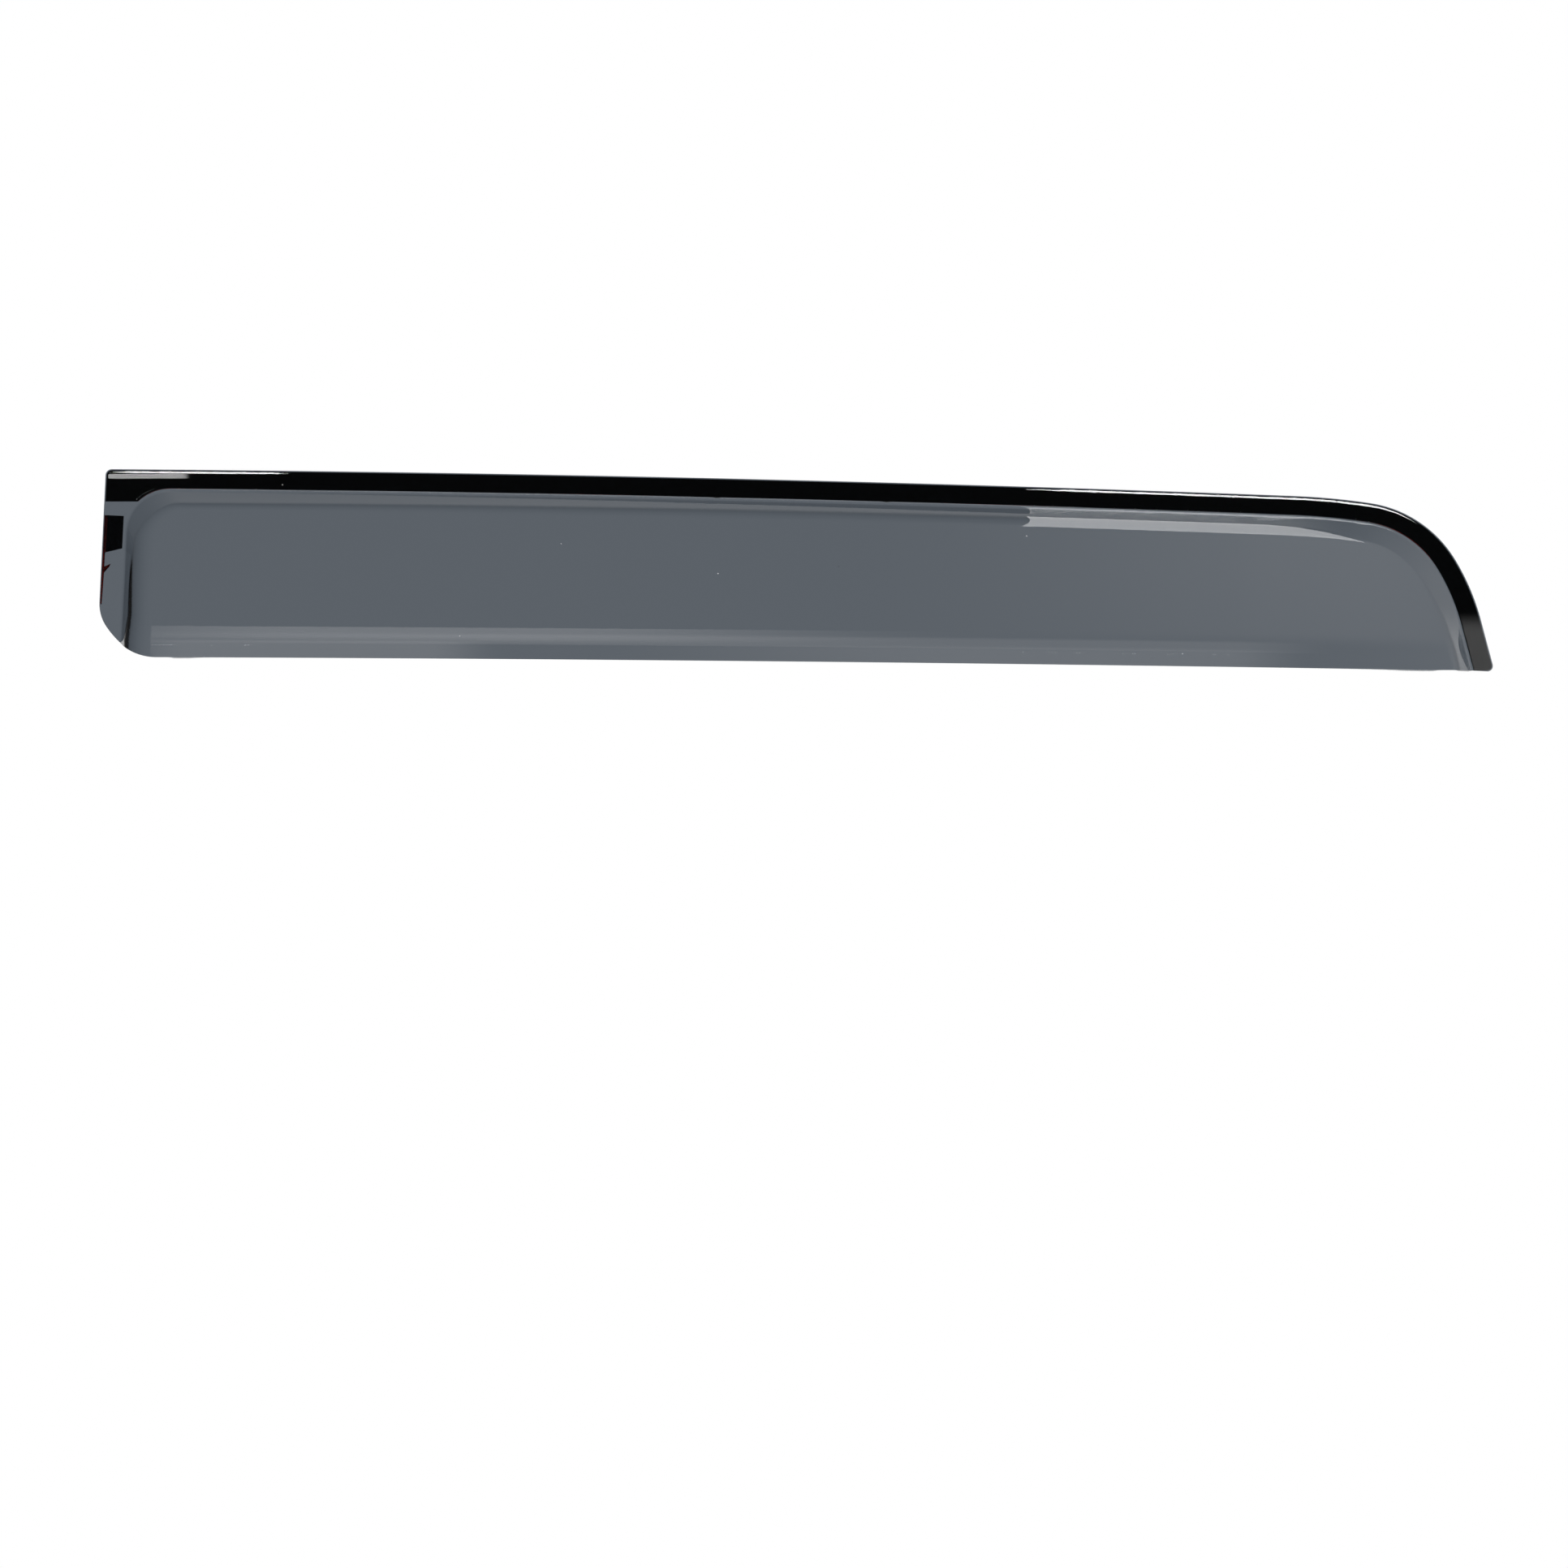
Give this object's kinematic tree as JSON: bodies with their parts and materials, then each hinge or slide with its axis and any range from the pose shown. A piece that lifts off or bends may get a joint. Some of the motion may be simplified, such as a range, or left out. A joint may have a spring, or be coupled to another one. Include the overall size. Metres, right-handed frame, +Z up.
{
  "type": "window rain deflector",
  "caption": "Smoked acrylic rain deflector that tapes to the upper edge of a car's side window frame, with a curved front end and an outward-sloping panel.",
  "frame": {"origin": "on the back of the film that covers the top tape's adhesive, halfway along the deflector", "axes": "+X along the window's upper edge towards the curved front end, +Y into the door frame, +Z up"},
  "size_m": [0.7208, 0.0266, 0.1051],
  "materials": {
    "smoked_acrylic": "polished, smoke tinted, see-through",
    "foam_tape": "matt closed-cell foam",
    "release_film": "smooth film"
  },
  "bodies": {
    "root": {"visor_shell": "smoked_acrylic", "top_tape": "foam_tape", "rear_tape": "foam_tape", "top_tape_liner": "release_film", "rear_tape_liner": "release_film"}
  },
  "joints": []
}
